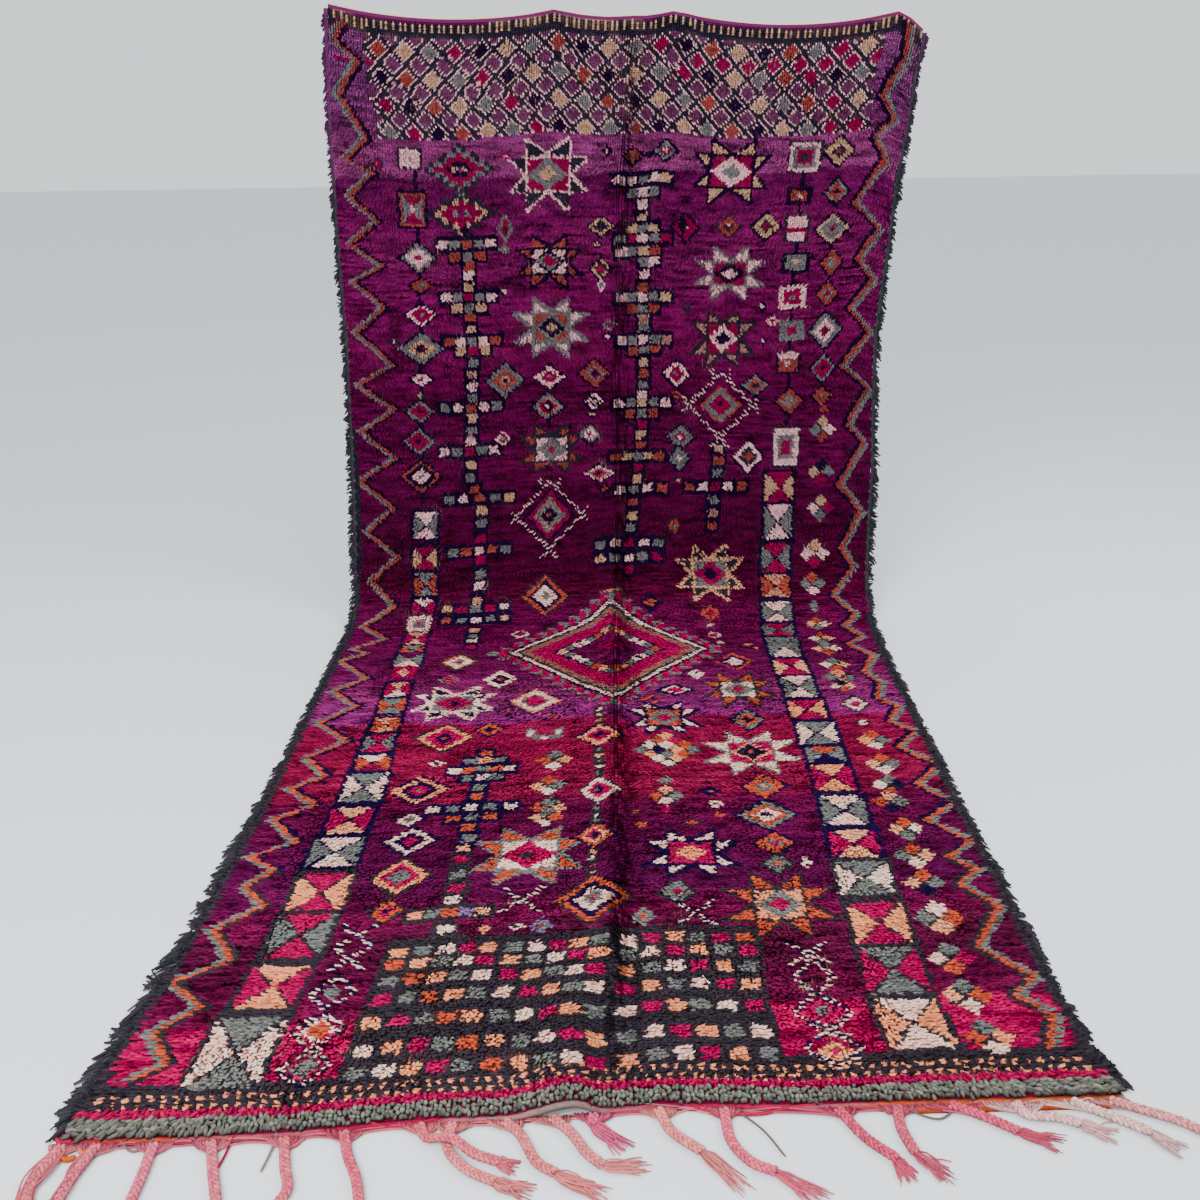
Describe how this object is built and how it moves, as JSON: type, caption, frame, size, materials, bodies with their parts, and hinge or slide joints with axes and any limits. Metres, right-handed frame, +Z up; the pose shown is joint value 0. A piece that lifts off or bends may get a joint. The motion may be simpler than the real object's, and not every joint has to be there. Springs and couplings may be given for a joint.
{
  "type": "hanging knotted pile rug",
  "caption": "Long hand-knotted wool rug held up at its top edge, hanging in a soft curve and lying forward on the floor, with shaggy selvedges and a plaited fringe.",
  "frame": {"origin": "on the floor, under the middle of the rug's bounding box", "axes": "+Z up, +Y towards the hanging end, +X across the rug to the right as seen from its front"},
  "size_m": [2.0699, 2.9111, 1.9194],
  "materials": {
    "wool_pile": "matte",
    "charcoal_wool": "matte",
    "pink_warp": "matte"
  },
  "bodies": {
    "root": {"rug_body": "wool_pile", "left_selvedge_hanging": "charcoal_wool", "left_selvedge_bend": "charcoal_wool", "left_selvedge_floor": "charcoal_wool", "right_selvedge_hanging": "charcoal_wool", "right_selvedge_bend": "charcoal_wool", "right_selvedge_floor": "charcoal_wool", "front_fringe": "pink_warp"}
  },
  "joints": []
}
